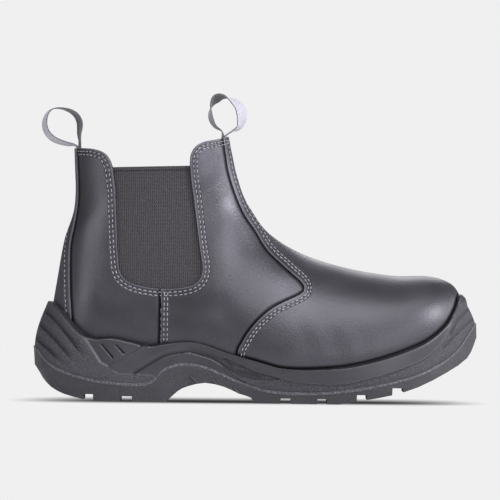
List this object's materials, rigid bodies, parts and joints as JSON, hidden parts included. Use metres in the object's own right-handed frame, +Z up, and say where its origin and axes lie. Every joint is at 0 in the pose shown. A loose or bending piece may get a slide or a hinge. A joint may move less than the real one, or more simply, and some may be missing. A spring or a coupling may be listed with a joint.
{
  "type": "side gore work boot",
  "caption": "Ankle-high pull-on work boot with elastic side gores, lapped smooth leather upper, pull loops and a two-part rubber cup sole with toe and heel bumpers.",
  "frame": {"origin": "on the floor, in the middle of the rearmost lug of the heel", "axes": "+X to the toe, -Y to the outer side of the foot, +Z up"},
  "size_m": [0.3031, 0.1087, 0.2105],
  "materials": {
    "tread_rubber": "matte",
    "cup_rubber": "satin and stippled",
    "insole_cloth": "matte",
    "leather": "satin",
    "elastic": "ribbed, matte",
    "tape": "woven, matte"
  },
  "bodies": {
    "root": {"outsole": "tread_rubber", "midsole": "cup_rubber", "insole": "insole_cloth", "upper": "leather", "gore_outer": "elastic", "gore_inner": "elastic", "pull_loop_back": "tape", "pull_loop_front": "tape"}
  },
  "joints": []
}
